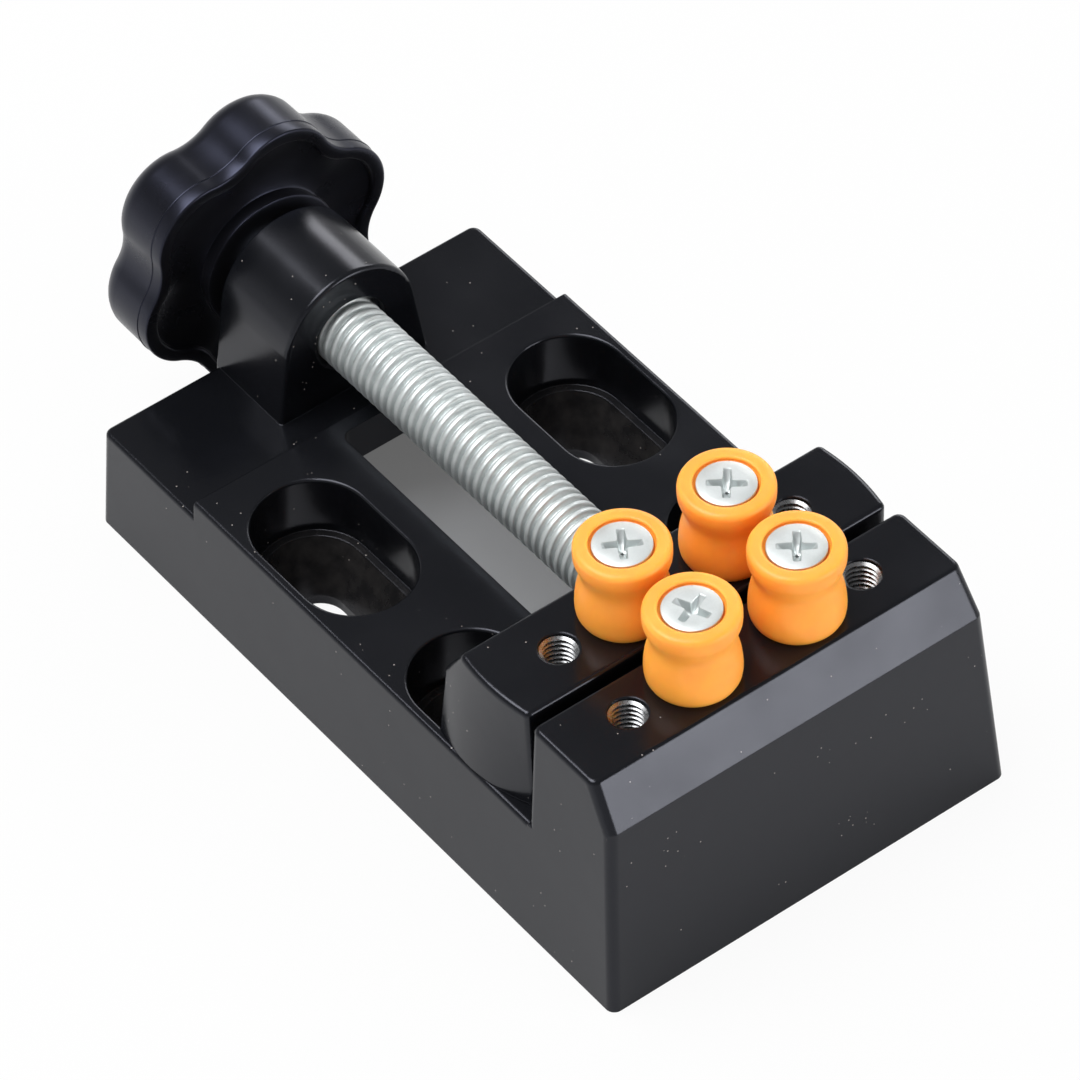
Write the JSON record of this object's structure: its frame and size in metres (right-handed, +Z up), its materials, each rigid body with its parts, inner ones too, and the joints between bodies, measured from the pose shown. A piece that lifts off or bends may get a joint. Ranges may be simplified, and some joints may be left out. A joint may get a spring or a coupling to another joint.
{
  "type": "mini bench vise",
  "caption": "Small bench vise: a cast body with a fixed jaw, a sliding jaw driven by a star knob's lead screw, and screwed spool pegs on both jaws for round or odd work.",
  "frame": {"origin": "centre of the four bench bolt holes, on the bench surface", "axes": "+X along the lead screw from the knob to the fixed jaw, +Y across the jaws, +Z up from the bench"},
  "size_m": [0.1226, 0.062, 0.047],
  "materials": {
    "black_paint": "semi-gloss black paint on an aluminium casting",
    "black_plastic": "moulded black plastic, fine satin",
    "orange_plastic": "moulded orange plastic, satin",
    "zinc_steel": "bright zinc plating on steel"
  },
  "bodies": {
    "base": {"vise_body": "black_paint"},
    "jaw": {"moving_jaw": "black_paint", "keeper_plate": "zinc_steel", "keeper_screw_left": "zinc_steel", "keeper_screw_right": "zinc_steel", "keeper_washer_left": "zinc_steel", "keeper_washer_right": "zinc_steel", "retaining_screw": "zinc_steel"},
    "screw": {"lead_screw": "zinc_steel", "star_knob": "black_plastic", "knob_cap": "black_plastic"},
    "moving_peg_left": {"moving_peg_left": "orange_plastic"},
    "moving_peg_screw_left": {"moving_peg_screw_left": "zinc_steel"},
    "moving_peg_right": {"moving_peg_right": "orange_plastic"},
    "moving_peg_screw_right": {"moving_peg_screw_right": "zinc_steel"},
    "fixed_peg_left": {"fixed_peg_left": "orange_plastic"},
    "fixed_peg_screw_left": {"fixed_peg_screw_left": "zinc_steel"},
    "fixed_peg_right": {"fixed_peg_right": "orange_plastic"},
    "fixed_peg_screw_right": {"fixed_peg_screw_right": "zinc_steel"}
  },
  "joints": [
    {"name": "screw_spin", "type": "hinge", "parent": "jaw", "child": "screw", "pos_m": [0, 0, 0.0252], "axis": [1, 0, 0], "range_deg": [-11525, 272]},
    {"name": "jaw_slide", "type": "slide", "parent": "base", "child": "jaw", "axis": [1, 0, 0], "range_m": [-0.048, 0.00112]},
    {"name": "moving_peg_left_lift", "type": "slide", "parent": "jaw", "child": "moving_peg_left", "axis": [0, 0, 1], "range_m": [0, 0.008]},
    {"name": "moving_peg_screw_left_spin", "type": "hinge", "parent": "moving_peg_left", "child": "moving_peg_screw_left", "pos_m": [0.0273, 0.008, 0.0467], "axis": [0, 0, 1], "range_deg": [0, 3605]},
    {"name": "moving_peg_right_lift", "type": "slide", "parent": "jaw", "child": "moving_peg_right", "axis": [0, 0, 1], "range_m": [0, 0.008]},
    {"name": "moving_peg_screw_right_spin", "type": "hinge", "parent": "moving_peg_right", "child": "moving_peg_screw_right", "pos_m": [0.0273, -0.008, 0.0467], "axis": [0, 0, 1], "range_deg": [0, 3605]},
    {"name": "fixed_peg_left_lift", "type": "slide", "parent": "base", "child": "fixed_peg_left", "axis": [0, 0, 1], "range_m": [0, 0.008]},
    {"name": "fixed_peg_screw_left_spin", "type": "hinge", "parent": "fixed_peg_left", "child": "fixed_peg_screw_left", "pos_m": [0.0408, 0.008, 0.0467], "axis": [0, 0, 1], "range_deg": [0, 3605]},
    {"name": "fixed_peg_right_lift", "type": "slide", "parent": "base", "child": "fixed_peg_right", "axis": [0, 0, 1], "range_m": [0, 0.008]},
    {"name": "fixed_peg_screw_right_spin", "type": "hinge", "parent": "fixed_peg_right", "child": "fixed_peg_screw_right", "pos_m": [0.0408, -0.008, 0.0467], "axis": [0, 0, 1], "range_deg": [0, 3605]}
  ],
  "couplings": [
    {"joint": "screw_spin", "follows": "jaw_slide", "rad_per_m": 4188.8},
    {"joint": "moving_peg_screw_left_spin", "follows": "moving_peg_left_lift", "rad_per_m": 7854},
    {"joint": "moving_peg_screw_right_spin", "follows": "moving_peg_right_lift", "rad_per_m": 7854},
    {"joint": "fixed_peg_screw_left_spin", "follows": "fixed_peg_left_lift", "rad_per_m": 7854},
    {"joint": "fixed_peg_screw_right_spin", "follows": "fixed_peg_right_lift", "rad_per_m": 7854}
  ]
}
